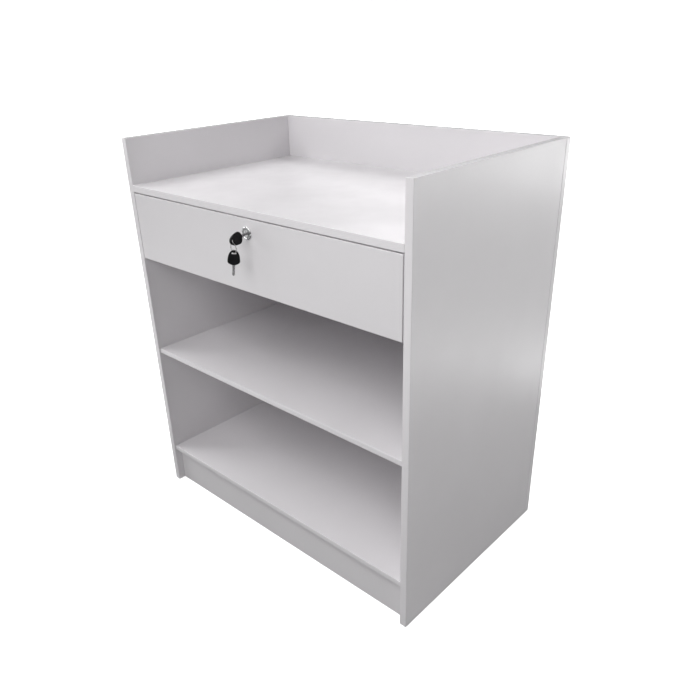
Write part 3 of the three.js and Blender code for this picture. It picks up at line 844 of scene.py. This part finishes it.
def key_frames():
    """The frames of the key in the lock, the ring and the spare key."""
    lock = box_middle("lock_rosette")
    plug_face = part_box("lock_plug")[0].y
    key = Matrix.Translation((lock.x, plug_face, lock.z - KEY_DROP)) @ Matrix.Rotation(KEY_SAG, 4, "X")
    ring = Matrix.Translation(box_middle("split_ring")) @ Matrix.Rotation(RING_YAW, 4, "Z")
    turn = Matrix.Rotation(SPARE_YAW, 4, "Z") @ Matrix.Rotation(SPARE_TILT - math.pi / 2, 4, "X")
    slot_end = KEY_NECK + BOW_HOLE + BOW_HOLE_RADIUS - RING_WIRE - RING_PLAY
    hook = turn @ Vector((0, -slot_end, 0))
    spare = ring @ Matrix.Translation(Vector((0, 0, -RING_RADIUS)) - hook) @ turn
    return key, ring, spare


def bow_outline():
    """A bowed shoulder, full cheeks and a dome, as a closed counter-clockwise outline."""
    half, length = BOW_HALF, BOW_LENGTH
    shoulder = (half - 3.2 * MM, -3.2 * MM)
    cheek = (half, -8 * MM)
    right = bezier((0, -length), (half * 0.76, -length), (half + 0.2 * MM, -length * 0.56), cheek, steps=20)
    right += bezier(cheek, (half, -4.8 * MM), shoulder, steps=6)
    shoulder_line = bezier(shoulder, (0, 2.4 * MM), (-shoulder[0], shoulder[1]), steps=12)
    left = [Vector((-point.x, point.y)) for point in reversed(right)]
    outline = right + shoulder_line + left[:-1]
    return [point - Vector((0, KEY_NECK)) for point in outline]


def slot_flare(thickness, radius, steps=4):
    """Rings of a cutter that leaves a slot with rounded rims on both faces."""
    lower = [(-radius * (1 - math.sin(a)), radius * (1 - math.cos(a))) for a in quarter_turn(steps)]
    upper = [(shift, thickness - height) for shift, height in reversed(lower)]
    return [(-radius, -MM), *lower, *upper, (-radius, thickness + MM)]


def finger_dishes():
    """A shallow round cap for each face of the bow, to be cut out of it."""
    curve = (DISH_RADIUS**2 + DISH_DEPTH**2) / (2 * DISH_DEPTH)
    cap = []
    for i in range(9):
        radius = DISH_RADIUS * i / 8
        cap.append((radius, curve - DISH_DEPTH - math.sqrt(curve**2 - radius**2)))
    profile = [*cap, (DISH_RADIUS, 2 * MM), (0, 2 * MM)]
    dishes = []
    for face, up in ((BOW_THICKNESS, 1), (0, -1)):
        middle = Matrix.Translation((0, -KEY_NECK - DISH_MIDDLE, face))
        stretch = Matrix.Diagonal((DISH_STRETCH, 1, up, 1))
        dishes.append(to_object("dish", lathe(profile, 48), middle @ stretch))
    return dishes


def make_bow(name, node, place):
    """The moulded bow, rounded all round, with a ring slot, two finger dishes and a blade socket."""
    rims = rounded_rims(BOW_THICKNESS, 1.3 * MM, 5)
    bow = to_object(name, stack(bow_outline(), rims))
    slot = stadium(BOW_HOLE_HALF, BOW_HOLE_RADIUS, (0, -KEY_NECK - BOW_HOLE))
    cutters = [to_object("slot", stack(slot, slot_flare(BOW_THICKNESS, 0.6 * MM)))]
    cutters += finger_dishes()
    socket_x = (-BLADE_HALF + 0.3 * MM, BLADE_HALF - 0.3 * MM)
    socket = rectangle(socket_x, (-KEY_NECK - KEY_TANG - 0.4 * MM, -KEY_NECK + 2 * MM))
    level = BOW_THICKNESS / 2
    half = BLADE_THICKNESS / 2 + SOCKET_PLAY
    cutters.append(to_object("socket", stack(socket, [(0, level - half), (0, level + half)])))
    carve(bow, cutters)
    bow.data.transform(place @ key_plane(BOW_THICKNESS))
    show(bow, FINISHES["black_plastic"], body_of(node), [node])


def blade_outline():
    """The blade with its bitting on both edges, as a closed outline."""
    half = BLADE_HALF
    tang = half - 0.7 * MM
    edge = [(-KEY_NECK - KEY_TANG, tang), (-KEY_NECK - MM, tang), (-KEY_NECK - MM, half)]
    for number, depth in enumerate(BITTING):
        start = -KEY_NECK + 4 * MM + number * BITTING_PITCH
        cut = half - depth * MM
        edge += [(start, half), (start + 0.7 * MM, cut), (start + 1.5 * MM, cut), (start + 2.2 * MM, half)]
    edge += [(KEY_TIP - 2.2 * MM, half - 0.1 * MM), (KEY_TIP, 0.8 * MM)]
    right = [Vector((x, y)) for y, x in edge]
    left = [Vector((-point.x, point.y)) for point in reversed(right)]
    return right + left


def make_blade(name, node, place):
    """The key blade, with a milled groove down each face."""
    blade = to_object(name, stack(blade_outline(), rounded_rims(BLADE_THICKNESS, 0.14 * MM, 2)))
    cutters = []
    for x, low in ((0.75 * MM, BLADE_THICKNESS - 0.55 * MM), (-0.75 * MM, -MM)):
        groove = rectangle((x - 0.45 * MM, x + 0.45 * MM), (-KEY_NECK - 0.5 * MM, KEY_TIP + MM))
        cutters.append(to_object("groove", stack(groove, [(0, low), (0, low + 1.55 * MM)])))
    carve(blade, cutters)
    blade.data.transform(place @ key_plane(BLADE_THICKNESS))
    show(blade, FINISHES["dark_nickel"], body_of(node), [node])


def make_split_ring(place):
    """A coil of two turns of flat wire that lie side by side and cross over in a short ramp."""
    turn_half = RING_WIRE / 2
    half_width = turn_half - WIRE_GAP  # along the ring's axis
    half_depth = RING_WIRE - WIRE_GAP  # along its radius
    section = [(math.cos(a), math.sin(a)) for a in (math.tau * (i + 0.5) / 12 for i in range(12))]
    mesh = bmesh.new()
    rings = []
    for i in range(RING_STEPS + 1):
        angle = RING_RAMP / 2 + (2 * math.tau - RING_RAMP) * i / RING_STEPS
        across = min(max((angle - math.tau) / RING_RAMP, -0.5), 0.5)
        height = -turn_half * math.sin(math.pi * across)
        ring = []
        for along_axis, along_radius in section:
            squared = max(abs(along_axis), abs(along_radius)) ** WIRE_SQUARENESS
            radius = RING_RADIUS + half_depth * along_radius / squared * WIRE_FILL
            level = height + half_width * along_axis / squared * WIRE_FILL
            ring.append(mesh.verts.new((radius * math.cos(angle), radius * math.sin(angle), level)))
        rings.append(ring)
    ring_faces(mesh, rings, close=False)
    mesh.faces.new(tuple(reversed(rings[0])))
    mesh.faces.new(tuple(rings[-1]))
    upright = Matrix.Rotation(math.pi / 2, 4, "X") @ Matrix.Rotation(math.radians(50), 4, "Z")
    coil = to_object("split_ring_coil", mesh, place @ upright)
    show(coil, FINISHES["nickel"], "key_ring", ["split_ring"])


def make_keys():
    key, ring, spare = key_frames()
    for name, place in (("key", key), ("spare_key", spare)):
        make_bow(f"{name}_moulded_bow", f"{name}_bow", place)
        make_blade(f"{name}_cut_blade", f"{name}_blade", place)
    make_split_ring(ring)


# ---- Stage ----
FLOOR_DROP = 0.3 * MM
SWEEP_RADIUS = 14.0
SWEEP_BEND = 3.0
SWEEP_STEPS = 12
SWEEP_HEIGHT = 9.0
SWEEP_GLOW = 0.8

# Soft boxes on the sky: azimuth from the front towards the right (degrees), sine of elevation, strength.
# The strengths, and the powers in make_lights, were fitted to the photo's grey levels and then rounded.
SKY_BOXES = {
    "back_left_high": ((-180, -135), (0.65, 0.87), 4.0),
    "back_left_middle": ((-180, -135), (0.35, 0.65), 3.5),
    "back_right_high": ((135, 180), (0.65, 0.87), 4.7),
    "left_high": ((-90, -45), (0.65, 0.87), 5.5),
    "front_left_high": ((-45, 0), (0.65, 0.87), 1.5),
    "right_horizon": ((100, 180), (-0.10, 0.03), 1.0),
    "right_bright": ((100, 180), (-0.20, -0.10), 4.5),
    "right_middle": ((100, 180), (-0.40, -0.20), 1.25),
    "right_lower_rim": ((100, 180), (-0.46, -0.40), 2.75),
    "right_dim": ((100, 180), (-0.60, -0.46), 0.25),
    "low_band": ((-180, 100), (-0.50, -0.25), 1.0),
}
AZIMUTH_BLUR = 4
HEIGHT_BLUR = 0.01


def make_floor():
    """A pale sweep that only the camera sees, so that it throws no light back on the counter."""
    bend = [
        (SWEEP_RADIUS - SWEEP_BEND + SWEEP_BEND * math.sin(turn), SWEEP_BEND * (1 - math.cos(turn)))
        for turn in quarter_turn(SWEEP_STEPS)
    ]
    profile = [(0, 0), *bend, (SWEEP_RADIUS, SWEEP_HEIGHT)]
    floor = to_object("floor", lathe(profile, 96), Matrix.Translation((0, 0, -FLOOR_DROP)))
    finish = Finish("pale_floor", Specular_IOR_Level=0.2, Emission_Strength=SWEEP_GLOW)
    cloud = finish.remap(finish.noise(0.7, 3), BROAD, (0, 1))
    colour = finish.mix(cloud, (0.93, 0.93, 0.93, 1), (0.95, 0.95, 0.95, 1))
    normal = finish.bump(finish.noise(30 * MM, 2), 0.02 * MM)
    floor.data.materials.append(finish.finish(colour, 0.7, normal))
    floor.visible_diffuse = False
    floor.visible_glossy = False
    floor.visible_shadow = False


def sky_math(tree, operation, *values):
    step = tree.nodes.new("ShaderNodeMath")
    step.operation = operation
    for socket, value in zip(step.inputs, values):
        if isinstance(value, (int, float)):
            socket.default_value = value
        else:
            tree.links.new(value, socket)
    return step.outputs["Value"]


def sky_pulse(tree, value, low, high, blur):
    """1 between low and high, 0 outside, with blurred ends."""
    ends = []
    for middle, start, end in ((low, 0, 1), (high, 1, 0)):
        step = tree.nodes.new("ShaderNodeMapRange")
        step.interpolation_type = "SMOOTHSTEP"
        tree.links.new(value, step.inputs["Value"])
        step.inputs["From Min"].default_value = middle - blur
        step.inputs["From Max"].default_value = middle + blur
        step.inputs["To Min"].default_value = start
        step.inputs["To Max"].default_value = end
        ends.append(step.outputs["Result"])
    return sky_math(tree, "MULTIPLY", *ends)


def make_world():
    world = bpy.data.worlds.new("studio")
    SCENE.world = world
    world.use_nodes = True
    tree = world.node_tree
    place = tree.nodes.new("ShaderNodeTexCoord")
    split = tree.nodes.new("ShaderNodeSeparateXYZ")
    tree.links.new(place.outputs["Generated"], split.inputs["Vector"])
    x, y, height = split.outputs
    forward = sky_math(tree, "MULTIPLY", y, -1.0)
    azimuth = sky_math(tree, "DEGREES", sky_math(tree, "ARCTAN2", x, forward))
    total = 0.0
    for (left, right), (low, high), strength in SKY_BOXES.values():
        across = sky_pulse(tree, azimuth, left, right, AZIMUTH_BLUR)
        along = sky_pulse(tree, height, low, high, HEIGHT_BLUR)
        box = sky_math(tree, "MULTIPLY", sky_math(tree, "MULTIPLY", across, along), strength)
        total = sky_math(tree, "ADD", total, box)
    tree.nodes["Background"].inputs["Color"].default_value = (1, 1, 1, 1)
    tree.links.new(total, tree.nodes["Background"].inputs["Strength"])


def soft_light(name, place, target, size, power):
    data = bpy.data.lights.new(name, "AREA")
    data.shape = "RECTANGLE"
    data.size, data.size_y = size
    data.energy = power
    light = bpy.data.objects.new(name, data)
    SCENE.collection.objects.link(light)
    light.location = place
    aim = Vector(target) - Vector(place)
    light.rotation_mode = "QUATERNION"
    light.rotation_quaternion = aim.to_track_quat("-Z", "Y")


def make_lights():
    middle = (0, 0, 0.5)
    soft_light("front_right_key", (1.9, -2.1, 2.0), middle, (1.6, 1.6), 13)
    soft_light("front_fill", (0.3, -2.6, 2.0), middle, (1.4, 1.0), 7)
    soft_light("front_close", (0.1, -1.6, 2.0), middle, (1.4, 1.0), 12)
    soft_light("left_fill", (-2.6, -1.2, 1.1), (0, 0, 0.4), (1.4, 1.0), 17)


SCENE.view_settings.view_transform = "Standard"
make_camera()
make_world()
make_floor()
make_lights()
make_boards()
make_fittings()
make_slides()
make_lock()
make_keys()
